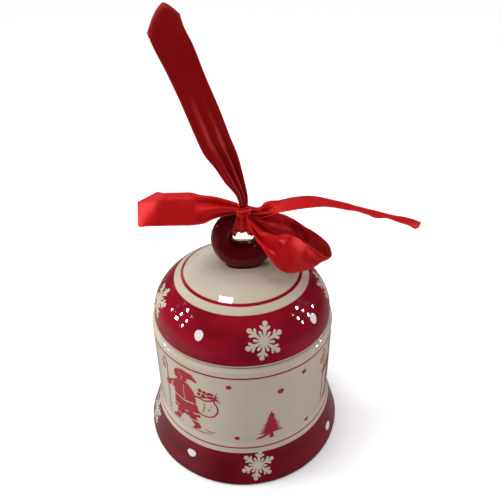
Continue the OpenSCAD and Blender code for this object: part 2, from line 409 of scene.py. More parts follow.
def jar_glaze():
    recipe = Recipe("jar_glaze")
    where = recipe.where()
    z, reach = axes(recipe, where)
    z = wavering(recipe, where, z, 0.12 * MM)
    outside = recipe.above(reach, (WALL_R - 1) * MM, 0.4 * MM)
    skirt_out = recipe.above(reach, SKIRT_EDGE_R * MM, 0.2 * MM)
    skirt = recipe.both(recipe.below(z, SKIRT_BAND_Z * MM, 0.35 * MM), skirt_out)
    lines = recipe.either(
        recipe.band(z, HIGH_LINE_Z * MM, 0.95 * MM, 0.25 * MM),
        recipe.band(z, LOW_LINE_Z * MM, 0.7 * MM, 0.25 * MM))
    cream = cream_tone(recipe, where)
    # the skirt's darker crimson is painted shade
    crimson = crimson_tone(recipe, where, SKIRT_DEEP_PAINTED_SHADE, SKIRT_CRIMSON_PAINTED_SHADE)
    glazed = recipe.mix(skirt, recipe.mix(recipe.both(lines, outside), cream, INK), crimson)
    underside = recipe.below(z, 0.5 * MM, 0.3 * MM)
    recipe.set("Base Color", recipe.mix(underside, glazed, CLAY))
    glaze_finish(recipe, where)
    return recipe.material


def lid_glaze():
    recipe = Recipe("lid_glaze")
    where = recipe.where()
    z, reach = axes(recipe, where)
    z = wavering(recipe, where, z, 0.10 * MM)
    across = recipe.math("POWER", recipe.math("DIVIDE", reach, LID_R * MM), 2.0)
    rise = recipe.math("MAXIMUM", recipe.math("SUBTRACT", z, DOME_Z * MM), 0.0)
    upward = recipe.math("POWER", recipe.math("DIVIDE", rise, DOME_H * MM), 2.0)
    outside = recipe.above(recipe.math("ADD", across, upward), 0.87, 0.02)
    # the line and the edge of the band are drawn by hand, a little towards the front
    off_centre = axes(recipe, where, LID_LINE_FORWARD * MM)[1]
    sides = recipe.add("ShaderNodeSeparateXYZ")
    recipe.put(where, sides.inputs[0])
    tipped = recipe.math("SUBTRACT", z, recipe.math("MULTIPLY", sides.outputs["Y"], 0.02))
    belt = recipe.both(
        recipe.above(z, LID_BAND_LOW_Z * MM, 0.4 * MM),
        recipe.below(tipped, LID_BAND_TOP_Z * MM, 0.25 * MM))
    line = recipe.both(
        recipe.band(wavering(recipe, where, off_centre, 0.12 * MM), LID_LINE_R * MM, 1.35 * MM, 0.2 * MM),
        recipe.above(z, LID_LINE_FROM_Z * MM, 1 * MM))
    cream = cream_tone(recipe, where)
    crimson = crimson_tone(recipe, where, CRIMSON_DEEP, CRIMSON)
    inked = recipe.either(belt, line)
    recipe.set("Base Color", recipe.mix(recipe.both(inked, outside), cream, crimson))
    glaze_finish(recipe, where)
    return recipe.material


def plain_glaze(name, colour, shade, roughness, level=0.5):
    recipe = Recipe(name)
    where = recipe.where()
    recipe.set("Base Color", recipe.mix(recipe.noise(where, 60, 4, 0.6), shade, colour))
    glaze_finish(recipe, where, roughness, level)
    return recipe.material


# distances in the ribbon's map
RIB_PITCH = 0.0068
STITCH_PITCH = 0.0125
WEAVE_WIDTH = 0.15
WEAVE_PER_MM = MM * 10


def satin(name, thread, shade, edge_thread):
    """Woven satin: threads along the ribbon, fine ribs across it and a firmer woven edge."""
    recipe = Recipe(name)
    uv = recipe.add("ShaderNodeUVMap", uv_map="weave").outputs["UV"]
    parts = recipe.add("ShaderNodeSeparateXYZ")
    recipe.put(uv, parts.inputs[0])
    across, along = parts.outputs["X"], parts.outputs["Y"]
    # the map counts metres times ten, so the ribbon is 0.15 wide in it
    threads = recipe.noise(stretched(recipe, across, 1800, along, 26), 1, 3, 0.6)
    streaks = recipe.noise(stretched(recipe, across, 160, along, 9), 1, 2, 0.5)
    ribs = recipe.math("SINE", recipe.math("MULTIPLY", along, 2 * math.pi / RIB_PITCH))
    uneven = recipe.noise(stretched(recipe, across, 60, along, 300), 1, 2)
    rib_height = recipe.math("MULTIPLY", ribs, uneven)
    edge = recipe.math("ABSOLUTE", recipe.math("SUBTRACT", across, WEAVE_WIDTH / 2))
    selvage = recipe.above(edge, 0.0700, 0.0018)
    stitches = recipe.math("SINE", recipe.math("MULTIPLY", along, 2 * math.pi / STITCH_PITCH))
    tone = recipe.mix(recipe.math("MULTIPLY", recipe.math("ADD", threads, streaks), 0.5), shade, thread)
    stitch_light = recipe.math("ADD", 0.3, recipe.math("MULTIPLY", stitches, 0.3))
    edge_light = recipe.math("MULTIPLY", selvage, stitch_light)
    recipe.set("Base Color", recipe.mix(edge_light, tone, edge_thread))
    weave = recipe.math("ADD", recipe.math("MULTIPLY", threads, 0.7),
                        recipe.math("MULTIPLY", rib_height, 0.55))
    raised = recipe.math("MULTIPLY", selvage, recipe.math("ADD", 0.8, recipe.math("MULTIPLY", stitches, 0.5)))
    recipe.bump(recipe.math("ADD", weave, raised), 0.0001, 0.6)
    recipe.set("Roughness", recipe.math("ADD", 0.24, recipe.math("MULTIPLY", threads, 0.14)))
    recipe.set("Metallic", 0.3)
    recipe.set("Specular IOR Level", 1.0)
    recipe.set("Specular Tint", (1.0, 0.30, 0.27))
    recipe.set("Anisotropic", 0.8)
    tangent = recipe.add("ShaderNodeTangent", direction_type="UV_MAP", uv_map="weave")
    recipe.set("Tangent", tangent.outputs["Tangent"])
    return recipe.material


def stretched(recipe, across, across_scale, along, along_scale):
    node = recipe.add("ShaderNodeCombineXYZ")
    recipe.put(recipe.math("MULTIPLY", across, float(across_scale)), node.inputs["X"])
    recipe.put(recipe.math("MULTIPLY", along, float(along_scale)), node.inputs["Y"])
    return node.outputs[0]


# ---------- mesh helpers ----------

def mesh_object(name, points, faces, material, smooth=True):
    """A mesh object from points in millimetres."""
    mesh = bpy.data.meshes.new(name)
    mesh.from_pydata([tuple(np.asarray(p) * MM) for p in points], [], faces)
    mesh.materials.append(material)
    mesh.polygons.foreach_set("use_smooth", [smooth] * len(mesh.polygons))
    thing = bpy.data.objects.new(name, mesh)
    bpy.context.scene.collection.objects.link(thing)
    return thing


def apply_modifiers(thing):
    bpy.context.view_layer.update()
    made = bpy.data.meshes.new_from_object(thing.evaluated_get(bpy.context.evaluated_depsgraph_get()))
    made.name = thing.data.name
    thing.modifiers.clear()
    thing.data = made


# ---------- flat shapes: distance is negative inside ----------

def disc(x, y, at, radius):
    return np.hypot(x - at[0], y - at[1]) - radius


def stroke(x, y, start, end, start_r, end_r=None):
    """A line with round ends, which may taper."""
    end_r = start_r if end_r is None else end_r
    dx, dy = end[0] - start[0], end[1] - start[1]
    share = np.clip(((x - start[0]) * dx + (y - start[1]) * dy) / (dx * dx + dy * dy), 0, 1)
    away = np.hypot(x - start[0] - share * dx, y - start[1] - share * dy)
    return away - (start_r + share * (end_r - start_r))


def path(x, y, points, radius):
    """A bent line through points, each [x, y] or [x, y, radius there]."""
    found = None
    for a, b in zip(points, points[1:]):
        ra = a[2] if len(a) > 2 else radius
        rb = b[2] if len(b) > 2 else radius
        part = stroke(x, y, a, b, ra, rb)
        found = part if found is None else np.minimum(found, part)
    return found


def polygon(x, y, corners):
    inside = np.zeros(x.shape, bool)
    near = np.full(x.shape, 1e9)
    for a, b in zip(corners, corners[1:] + corners[:1]):
        near = np.minimum(near, stroke(x, y, a, b, 0))
        crosses = (a[1] > y) != (b[1] > y)
        slope = (b[0] - a[0]) / (b[1] - a[1]) if a[1] != b[1] else 0
        inside ^= crosses & (x < a[0] + (y - a[1]) * slope)
    return np.where(inside, -near, near)


def outline(shape, width):
    return np.abs(shape) - width / 2


def joined(*shapes):
    return np.minimum.reduce(shapes)


def without(shape, *gaps):
    return np.maximum(shape, -joined(*gaps))


def snowflake(x, y, reach=7.0, tilt=0.0):
    """Six arms with round tips and barbs, and six short rods between them, like spokes."""
    flake = disc(x, y, (0, 0), 0.07 * reach)
    for k in range(12):
        turn = math.radians(90 + 30 * k + tilt)
        ahead = np.array([math.cos(turn), math.sin(turn)])
        side = np.array([-ahead[1], ahead[0]])
        if k % 2:
            flake = joined(flake, stroke(x, y, (0, 0), 0.48 * reach * ahead, 0.02 * reach, 0.075 * reach))
            continue
        flake = joined(flake, stroke(x, y, (0, 0), 0.45 * reach * ahead, 0.02 * reach, 0.085 * reach))
        flake = joined(flake, stroke(x, y, 0.45 * reach * ahead, 0.86 * reach * ahead,
                                     0.085 * reach, 0.06 * reach))
        flake = joined(flake, disc(x, y, 0.87 * reach * ahead, 0.135 * reach))
        for way in (-1, 1):
            barb = 0.70 * reach * ahead + 0.20 * reach * way * side
            flake = joined(flake, stroke(x, y, 0.52 * reach * ahead, barb, 0.06 * reach, 0.07 * reach))
    return flake


def painted_dot(x, y, radius=1.9, squash=1.15):
    """A brushed dot, not quite round; squash above 1 makes it narrow."""
    angle = np.arctan2(y, x)
    return np.hypot(x * squash, y) - radius * (1 + 0.04 * np.sin(2 * angle + 1) + 0.03 * np.sin(3 * angle))


def fir_tree(x, y, height=17):
    """A fir with ragged drooping branches in tiers, longest at the bottom left."""
    top = height / 2
    tree = stroke(x, y, (0.1, top), (0, 2 - top), 0.15, 1.0)
    tiers = 7
    for i in range(tiers):
        level = top - 2.4 - 1.75 * i
        left = 1.2 + 0.72 * i + 0.35 * math.sin(2.6 * i)
        right = 1.3 + 0.74 * i + 0.35 * math.cos(2.1 * i)
        tree = joined(tree, polygon(x, y, [
            (0, level + 1.9), (0.45 * right, level + 0.6), (right, level - 0.6), (0.55 * right, level - 0.9),
            (0, level - 1.2), (-0.55 * left, level - 0.9), (-left, level - 0.7),
            (-0.5 * left, level + 0.6)]) - 0.15)
    low_branch = path(x, y, [(-2, 2.4 - top, 0.9), (-4.6, 0.9 - top, 0.7), (-6.8, 0.3 - top, 0.3)], 1)
    return joined(tree, low_branch, stroke(x, y, (0.2, 2 - top), (0.3, 0.4 - top), 0.9, 1.1))


def walker(x, y):
    """A walker in a hooded coat, seen from behind, with a staff, a lantern and a full sack."""
    coat = polygon(x, y, [(-8.5, 6.5), (-5, 9.5), (0.5, 9.5), (3.4, 6), (4.6, -2), (6, -8.4), (-1, -10.6),
                          (-8.6, -8.6), (-7.6, -1)])
    coat = joined(coat - 0.6, stroke(x, y, (-6.5, 6), (-12, 3.2), 2.2, 1.7))
    belt = path(x, y, [(-9.5, -0.8), (-2, -2), (6, -0.6)], 0.38)
    hem = path(x, y, [(-9.8, -6.9), (-1.2, -8.6), (7, -6.6)], 0.42)
    seam = path(x, y, [(-1.6, 8), (-2.1, 3), (-1.8, -1)], 0.2)
    cuff = stroke(x, y, (-10.9, 1.4), (-9.4, 5.4), 0.4)
    coat = without(coat, belt, hem, seam, cuff)
    hood = joined(disc(x, y, (-3.4, 12.6), 3.9),
                  path(x, y, [(-2, 14.6, 2.6), (2.6, 15, 1.7), (5.4, 13.2, 0.6)], 1))
    hood = without(hood, path(x, y, [(-7.6, 10.6), (-3.6, 9.1), (0.8, 10.4)], 0.42),
                   path(x, y, [(-3.8, 15.4), (-2.4, 12.6), (-3.2, 10.2)], 0.17))
    mitten = disc(x, y, (-13.2, 2.6), 1.55)
    staff = path(x, y, [(-13.9, -15.5), (-13.4, 2), (-12.6, 14), (-13.6, 16.6), (-15.3, 16.2)], 0.33)
    lamp = joined(outline(polygon(x, y, [(-17, 9.6), (-17.3, 13), (-14.4, 13.2), (-14.5, 9.8)]), 0.5),
                  stroke(x, y, (-15.8, 13.4), (-15.4, 15.9), 0.22), disc(x, y, (-15.8, 11.4), 0.6))
    sack_body = joined(disc(x, y, (9.6, -0.6), 5.9), stroke(x, y, (5.5, 1.5), (11.5, 3.4), 2.6))
    sack = joined(outline(sack_body, 0.75), path(x, y, [(5, 4.6), (9.4, 3.4), (14, 5)], 0.42),
                  path(x, y, [(8, -4), (9.2, -1), (8.8, 1.6)], 0.2), disc(x, y, (11.4, -1.8), 0.5),
                  disc(x, y, (12.6, 0.4), 0.35))
    parcel = without(polygon(x, y, [(5.6, 6), (6.8, 10.2), (10.4, 9.2), (9.6, 5.2)]),
                     path(x, y, [(7.4, 5.4), (8.6, 10)], 0.25), path(x, y, [(6, 8), (10.2, 7.2)], 0.25))
    ball = without(disc(x, y, (12.2, 7.4), 1.9), path(x, y, [(10.4, 6.8), (12.2, 7.6), (14, 7.2)], 0.25))
    sprig = joined(*[stroke(x, y, (14, 6), (15.4 + 0.5 * k, 9.6 - 1.9 * k), 0.4, 0.15) for k in range(4)])
    legs = joined(stroke(x, y, (-4.4, -9), (-6.6, -13.2), 2.1, 1.7),
                  stroke(x, y, (1.6, -9.6), (3.4, -13), 2.2, 1.8))
    boots = joined(path(x, y, [(-6.9, -13.8, 1.6), (-7.2, -15.6, 1.3), (-10, -16.4, 0.9)], 1),
                   path(x, y, [(3.8, -13.4, 1.7), (5.2, -15.2, 1.3), (3, -16.8, 0.9)], 1))
    steps = without(joined(legs, boots), stroke(x, y, (-9, -12.2), (-4.4, -13.3), 0.35),
                    stroke(x, y, (1, -12.4), (6.4, -12.5), 0.35))
    snow = joined(path(x, y, [(-14.6, -17.4, 0.1), (-10, -17.9, 0.3), (-4, -17.6, 0.1)], 0.2),
                  path(x, y, [(1, -17.8, 0.12), (7, -18.2, 0.32), (12.4, -17.6, 0.1)], 0.2),
                  path(x, y, [(8, -15.8, 0.1), (11, -16.3, 0.25), (14, -15.9, 0.1)], 0.2))
    return joined(coat, hood, mitten, staff, lamp, sack, parcel, ball, sprig, steps, snow)


# ---------- prints wrapped round the pot ----------

class Outline:
    """The outside of the jar or the lid as a line of (radius, height), measured along its length."""

    def __init__(self, points):
        self.points = np.array(points, float)
        steps = np.hypot(*np.diff(self.points, axis=0).T)
        self.run = np.concatenate([[0], np.cumsum(steps)])

    def run_at_height(self, z):
        return float(np.interp(z, self.points[:, 1], self.run))

    def at(self, run):
        """Radius, height and outward direction at that length along the line."""
        radii, heights = self.points[:, 0], self.points[:, 1]
        r = np.interp(run, self.run, radii)
        z = np.interp(run, self.run, heights)
        ahead_r = np.interp(run + 0.3, self.run, radii) - np.interp(run - 0.3, self.run, radii)
        ahead_z = np.interp(run + 0.3, self.run, heights) - np.interp(run - 0.3, self.run, heights)
        length = np.hypot(ahead_r, ahead_z)
        return r, z, ahead_z / length, -ahead_r / length


def jar_outline():
    heights = np.linspace(FOOT_H, SKIRT_TOP_Z, 60)
    flare = ((SKIRT_TOP_Z - heights) / (SKIRT_TOP_Z - FOOT_H)) ** SKIRT_POWER
    skirt = np.column_stack([WALL_R + (FOOT_R - WALL_R) * flare, heights])
    return Outline([(FOOT_R, 0.6), *skirt[:-1], (WALL_R, SKIRT_TOP_Z), (WALL_R, RIM_Z - 2)])


def lid_outline():
    last = math.acos(CROWN_R / LID_R)
    flank = [(LID_R * math.cos(a), DOME_Z + DOME_H * math.sin(a)) for a in np.linspace(0, last, 80)]
    crown = [(r, LID_TOP_Z - CROWN_RISE * (r / CROWN_R) ** CROWN_POWER)
             for r in np.linspace(CROWN_R - 0.3, 1, 60)]
    return Outline([(LID_R, DOME_Z - 2), *flank, *crown])


def filled_cells(shape, half_w, half_h, cell):
    """Polygons that fill where shape(x, y) is negative, cut neatly along its edge."""
    xs = np.arange(-half_w, half_w + cell, cell)
    ys = np.arange(-half_h, half_h + cell, cell)
    grid_x, grid_y = np.meshgrid(xs, ys, indexing="ij")
    depth = shape(grid_x, grid_y)
    depth[np.abs(depth) < 1e-4] = -1e-4
    points, number, faces = [], {}, []

    def point(key, x, y):
        if key not in number:
            number[key] = len(points)
            points.append((x, y))
        return number[key]

    lows = np.minimum.reduce([depth[:-1, :-1], depth[1:, :-1], depth[1:, 1:], depth[:-1, 1:]])
    for i, j in zip(*np.nonzero(lows < 0)):
        corners = [(i, j), (i + 1, j), (i + 1, j + 1), (i, j + 1)]
        face = []
        for a, b in zip(corners, corners[1:] + corners[:1]):
            if depth[a] < 0:
                face.append(point(a, xs[a[0]], ys[a[1]]))
            if (depth[a] < 0) != (depth[b] < 0):
                share = depth[a] / (depth[a] - depth[b])
                key = (min(a, b), max(a, b))
                face.append(point(key, xs[a[0]] + share * (xs[b[0]] - xs[a[0]]),
                                  ys[a[1]] + share * (ys[b[1]] - ys[a[1]])))
        if len(face) > 2:
            faces.append(face)
    return np.array(points), faces


PRINT_PROUD = 0.05
PRINT_DEEP = 0.14
PRINT_GLOSS = 0.12


def printed(name, surface, shape, size, places, material, body, cell=0.22):
    """One object holding the shape at each place: (degrees round from the front, height, scale)."""
    flat, cells = filled_cells(shape, size[0] / 2, size[1] / 2, cell)
    points, faces = [], []
    for degrees, height, scale in places:
        run = surface.run_at_height(height) + flat[:, 1] * scale
        r, z, out_r, out_z = surface.at(run)
        turn = math.radians(degrees) + flat[:, 0] * scale / r
        r = r + PRINT_PROUD * out_r
        first = len(points)
        points.extend(np.column_stack([r * np.sin(turn), -r * np.cos(turn), z + PRINT_PROUD * out_z]))
        faces.extend([[first + k for k in face] for face in cells])
    thing = mesh_object(name, points, faces, material)
    rim = thing.modifiers.new("rim", "SOLIDIFY")
    rim.thickness = PRINT_DEEP * MM
    rim.offset = -1
    apply_modifiers(thing)
    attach(thing, body)
    return thing


def make_prints():
    jar, lid = jar_outline(), lid_outline()
    cream = plain_glaze("print_cream", CREAM, CREAM_SHADE, PRINT_GLOSS)
    white = plain_glaze("print_white", DOT_WHITE, DOT_SHADE, PRINT_GLOSS)
    ink = plain_glaze("print_ink", PRINT_INK, INK, PRINT_GLOSS)
    flakes_on_lid = [(-76, 80.2, 1), (12.6, 79.5, 1), (89, 80.8, 1), (187, 80, 1)]
    dots_on_lid = [(-27.8, 80.2, 1), (51, 79.8, 1), (138, 80, 1), (235, 80.5, 1)]
    things = [
        printed("lid_snowflakes", lid, lambda x, y: snowflake(x, y, 8.5, -12), (18, 18),
                flakes_on_lid, cream, "lid"),
        printed("lid_dots", lid, lambda x, y: painted_dot(x, y, 2.45, 1.25), (6, 6),
                dots_on_lid, white, "lid"),
        printed("skirt_snowflakes", jar, lambda x, y: snowflake(x, y, 8, -11), (17, 17),
                [(7, 10.6, 1), (-77.6, 10.4, 1), (98, 10.4, 1), (188, 10.4, 1)], cream, "jar"),
        printed("skirt_dots", jar, lambda x, y: painted_dot(x, y, 1.95, 0.84), (6, 6),
                [(-33.2, 11.2, 1), (62, 7.6, 1), (143, 9, 1), (236, 10, 1)], white, "jar"),
        printed("wall_walkers", jar, walker, (38, 38.4),
                [(-36, 43.4, 1), (77, 43.4, 1), (200, 43.4, 1)], ink, "jar", 0.2),
        printed("wall_trees", jar, fir_tree, (17, 20),
                [(16, 33, 1), (129, 33, 1), (252, 33, 1)], ink, "jar", 0.16),
        printed("wall_dots", jar, lambda x, y: painted_dot(x, y, 1.2, 0.95), (4, 4),
                [(turn + 120 * k, height, size) for k in range(3) for turn, height, size in (
                    (-8.7, 57.9, 1), (21.6, 52.4, 1.2), (37.7, 57.8, 1), (-4.8, 25.8, 1), (42.5, 24.4, 1))],
                ink, "jar"),
    ]


# ---------- ring ----------

def section_r(a):
    """Radius of the ring's section at angle a round it: it is thickest at the bottom."""
    return RING_TUBE_R + RING_SWELL * ((1 - math.sin(a)) / 2) ** 2


def ring_place(turn, section_turn, proud):
    """A point on the ring: turn round the ring from +X, section_turn round its section from the outside."""
    r = section_r(turn)
    centre = RING_R - r
    out = centre + (r + proud) * math.cos(section_turn)
    return np.array([RING_X + out * math.cos(turn), (r + proud) * math.sin(section_turn),
                     RING_Z + out * math.sin(turn)])


def make_ring(material):
    rounds, sides = 120, 40
    points = [ring_place(2 * math.pi * i / rounds, 2 * math.pi * k / sides, 0)
              for i in range(rounds) for k in range(sides)]
    faces = [[sides * i + k, sides * ((i + 1) % rounds) + k, sides * ((i + 1) % rounds) + (k + 1) % sides,
              sides * i + (k + 1) % sides] for i in range(rounds) for k in range(sides)]
    # the squashed foot: a low rounded cushion of clay under the ring, sunk into the lid
    first, rows, cols = len(points), 16, 64
    for i in range(rows):
        dip = math.pi * (i + 0.5) / rows
        for k in range(cols):
            turn = 2 * math.pi * k / cols
            reach = math.sin(dip) ** 0.6
            along = RING_FOOT_STRETCH * math.tanh(3 * math.cos(turn)) + RING_FOOT_R * math.cos(turn)
            points.append(np.array([RING_X + along * reach, RING_FOOT_R * math.sin(turn) * reach,
                                    LID_TOP_Z - 0.2 + 1.5 * math.cos(dip)]))
    faces += [[first + cols * i + k, first + cols * i + (k + 1) % cols,
               first + cols * (i + 1) + (k + 1) % cols, first + cols * (i + 1) + k]
              for i in range(rows - 1) for k in range(cols)]
    faces.append([first + k for k in range(cols)][::-1])
    faces.append([first + cols * (rows - 1) + k for k in range(cols)])
    ring = mesh_object("glazed_ring", points, faces, material)
    merge = ring.modifiers.new("merge", "REMESH")
    merge.mode = "VOXEL"
    merge.voxel_size = 0.4 * MM
    merge.use_smooth_shade = True
    soften = ring.modifiers.new("soften", "SMOOTH")
    soften.factor = 0.5
    soften.iterations = 12
    apply_modifiers(ring)
    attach(ring, "lid")
    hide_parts("ring_handle")
    return ring


# ---------- ribbon ----------

def smooth_rows(stations, steps):
    """Rows of numbers on a smooth curve through the stations, steps of them between each two."""
    table = np.array([np.concatenate([np.atleast_1d(np.array(part, float)) for part in s]) for s in stations])
    padded = np.vstack([2 * table[0] - table[1], table, 2 * table[-1] - table[-2]])
    rows = []
    for i in range(1, len(padded) - 2):
        a, b, c, d = padded[i - 1:i + 3]
        for t in np.arange(steps) / steps:
            rows.append(0.5 * (2 * b + (c - a) * t + (2 * a - 5 * b + 4 * c - d) * t ** 2
                               + (3 * b - a - 3 * c + d) * t ** 3))
    rows.append(table[-1])
    return np.array(rows)


def section(chord, bow, crease, crease_at, pleats, phase, count, fullness=0.62):
    """Across the ribbon from edge to edge: places along the chord and off it, gathered into it by pleats."""
    u = np.linspace(0, 1, count)
    still = bow * (1 - 2 * u) - crease / (1 + np.exp((crease_at - u) / 0.03))
    wave = np.cos(2 * math.pi * (pleats * u + 0.07 * np.sin(5 * u + 2 * phase)) + phase)
    squeezed = RIBBON_W * (fullness + (1 - fullness) * min(chord / 9, 1) ** 2)

    def drawn(swing):
        lean = still + swing * wave
        line = np.concatenate([[0], np.cumsum(np.exp(0.5j * (lean[1:] + lean[:-1])))])
        return line * squeezed / (count - 1)

    low, high = 0.0, 2.15
    for _ in range(16):
        middle_swing = (low + high) / 2
        if abs(drawn(middle_swing)[-1]) > chord:
            low = middle_swing
        else:
            high = middle_swing
    line = drawn(low)
    line *= chord / line[-1]
    return line.real, line.imag


RIBBON_THICK = 0.3


def strip_faces(rows, count):
    """Faces of a strip of that many rows, with count points in each."""
    return [[count * i + k, count * i + k + 1, count * (i + 1) + k + 1, count * (i + 1) + k]
            for i in range(rows - 1) for k in range(count - 1)]


def ribbon(name, stations, material, pleats=2.5, phase=0.0, crease_at=0.25, ripple=0.12,
           seed=0.0, nudge=None, count=49, steps=8, fullness=0.62):
    """A ribbon through stations: [one edge, other edge, bow, crease], the edges from the knot's middle."""
    rows = smooth_rows(stations, steps)
    one, other = rows[:, 0:3] + KNOT, rows[:, 3:6] + KNOT
    middles = (one + other) / 2
    ahead = np.gradient(middles, axis=0)
    across = other - one
    chord = np.linalg.norm(across, axis=1)
    across /= chord[:, None]
    through = np.cross(ahead, across)
    through /= np.linalg.norm(through, axis=1)[:, None]
    run = np.concatenate([[0], np.cumsum(np.linalg.norm(np.diff(middles, axis=0), axis=1))])
    points, uvs = [], []
    for i in range(len(rows)):
        side, rise = section(max(chord[i], 1.6), rows[i, 6], rows[i, 7], crease_at, pleats, phase, count,
                             fullness)
        for k in range(count):
            wave = noise.noise(Vector((side[k] * 0.16 + seed, run[i] * 0.07, seed)))
            wave += 0.35 * noise.noise(Vector((side[k] * 0.4, run[i] * 0.2 + seed, seed + 5)))
            point = one[i] + across[i] * side[k] + through[i] * (rise[k] + 2 * ripple * wave)
            if nudge:
                point = point + nudge(k / (count - 1), run[i] / run[-1])
            points.append(point)
            uvs.append((WEAVE_WIDTH * k / (count - 1), run[i] * WEAVE_PER_MM))
    return cloth(name, points, strip_faces(len(rows), count), uvs, material)


def near(place, at, spread):
    return math.exp(-((place - at) / spread) ** 2)


def left_loop_end(u, share):
    """The fold at the loop's left end slants: its top is cut short."""
    return np.array([9 * max(0.3 - u, 0) / 0.3 * near(share, 0.52, 0.10), 0, 0])


def hanging_loop_end(u, share):
    """The fold at the top of the hanging loop rises to a soft point near its right edge."""
    rise = 8 * (1 - abs(1 - u / 0.72) ** 1.6) if u < 0.72 else 8 - 8 * ((u - 0.72) / 0.28) ** 1.6
    return np.array([-0.45, 0.4, 0.8]) * rise * near(share, 0.505, 0.07)


def round_end(u, share):
    """The cut end of the tail has soft corners."""
    corner = max(abs(2 * u - 1) - 0.6, 0) / 0.4
    return np.array([-0.85, -0.1, 0.45]) * 1.6 * corner ** 2 * near(share, 1, 0.04)


def cloth(name, points, faces, uvs, material):
    thing = mesh_object(name, points, faces, material)
    layer = thing.data.uv_layers.new(name="weave")
    for loop in thing.data.loops:
        layer.data[loop.index].uv = uvs[loop.vertex_index]
    thick = thing.modifiers.new("thick", "SOLIDIFY")
    thick.thickness = RIBBON_THICK * MM
    thick.offset = 0
    apply_modifiers(thing)
    return thing


RED = (0.62, 0.007, 0.010)
RED_DEEP = (0.44, 0.003, 0.005)
RED_EDGE = (0.85, 0.04, 0.04)
# the dull back side of the satin, made darker still as painted shade: a shaded copy of the red satin, used on
# the hanging loop and the left tail
DULL_AND_SHADED_RED = (0.29, 0.002, 0.004)
DULL_AND_SHADED_RED_DEEP = (0.22, 0.001, 0.0025)
DULL_AND_SHADED_RED_EDGE = (0.40, 0.008, 0.01)

# left bow loop: top edge, bottom edge
LEFT_LOOP = [
    [[-1.5, -0.5, 2.5], [-1.5, -1.5, -0.5], 0, 0],
    [[-2.5, 0, 3.5], [-3, -1, -0.5], 0, 0],
    [[-5.5, 1.5, 4], [-5.5, -1.5, -1], 0.1, 0.1],
    [[-10, 3, 4.5], [-10, -2.5, -1.5], 0.2, 0.3],
    [[-14, 4, 5], [-13.5, -3, -2.5], 0.2, 0.5],
    [[-18.5, 5, 5.5], [-17, -3.5, -4], 0.2, 0.6],
    [[-22.5, 5.5, 6.5], [-22, -4, -4.5], 0.2, 0.6],
    [[-27, 5.5, 6.5], [-27, -4, -4.5], 0.15, 0.6],
    [[-31, 5.5, 6.5], [-32, -4, -4.5], 0.15, 0.6],
    [[-35.5, 5.5, 6.5], [-36.5, -4, -4.5], 0.2, 0.6],
    [[-40, 6.5, 6], [-41, -4, -4.5], 0.1, 0.2],
    [[-43.5, 8, 5.5], [-44, -3.5, -5], 0, 0],
    [[-46, 9, 5.5], [-45, -1.5, -5.5], 0, 0],
    [[-43.5, 10, 4.5], [-43, 0, -6], 0, 0],
    [[-40, 9.5, 4.5], [-40, -0.5, -6], 0, 0],
    [[-35.5, 8.5, 4], [-36, -0.5, -5.5], 0, 0],
    [[-27, 8, 4.5], [-27, -1, -5.5], 0, 0],
    [[-18.5, 7.5, 3.5], [-17.5, 0, -5], 0, 0],
    [[-10, 5.5, 3], [-10, 0.5, -2.5], 0, 0],
    [[-5, 4, 2.5], [-5.5, 1, -1.5], 0, 0],
    [[-1.5, 2, 2], [-1.5, 0.5, 0], 0, 0]]

# right bow loop: upper edge, lower edge
RIGHT_LOOP = [
    [[1.2, -1, -1], [1.2, -1.8, -2.6], 0, 0],
    [[2, -1.5, -2], [2, -2, -3.5], 0, 0],
    [[5.5, -3.5, -5.5], [3.5, -4.5, -7], -0.1, 0],
    [[8, -5, -7.5], [5.5, -7, -10.5], -0.3, 0],
    [[11, -6, -8], [7.5, -9, -12.5], -0.5, 0],
    [[14, -6.5, -9], [9, -11, -14.5], -0.6, 0],
    [[17, -6.5, -8.5], [11.5, -12, -18], -0.6, 0],
    [[20, -7, -8.5], [14, -13, -21], -0.6, 0],
    [[23, -7, -10], [17.5, -13, -23.5], -0.6, 0],
    [[26, -7.5, -12.5], [21, -10.5, -25.5], -0.6, 0],
    [[29.5, -8, -14.5], [24.5, -7, -27], -0.4, 0],
    [[32.5, -8.5, -17], [29.5, -1.5, -28.5], -0.3, 0],
    [[35, -8, -19], [34.5, 3, -29], -0.2, 0],
    [[37.5, -6.5, -20.5], [38, 6.5, -29.5], -0.1, 0],
    [[38.5, -5, -20], [39.5, 7.5, -30], 0, 0],
    [[38.5, -3, -19], [39.5, 8.5, -30], 0, 0],
    [[37.5, -0.5, -17], [37.5, 9.5, -29.5], 0, 0],
    [[34.5, 1.5, -14.5], [33.5, 9.5, -28], 0, 0],
    [[30.5, 2, -11.5], [28.5, 8.5, -24.5], 0.2, 0],
    [[27.5, 1.5, -9.5], [26, 6.5, -20], 0.6, 0],
    [[26, 1, -8], [24.5, 6, -17.5], 0.4, 0],
    [[23, 0.5, -5.5], [22, 5, -16.5], 0.4, 0],
    [[20, -1, -3], [17.5, 3, -15.5], 0.4, 0],
    [[17, -2, -1], [12.5, 0.5, -13.5], 0.4, 0],
    [[12, -2.5, 0.5], [8.5, -1.5, -9.5], 0.3, 0],
    [[8, -2, 0], [5.5, -1.5, -6], 0.2, 0],
    [[4.5, -1.5, -0.5], [3.5, -1, -3.5], 0, 0],
    [[1.2, -1, -0.5], [1.2, -1, -2.2], 0, 0]]

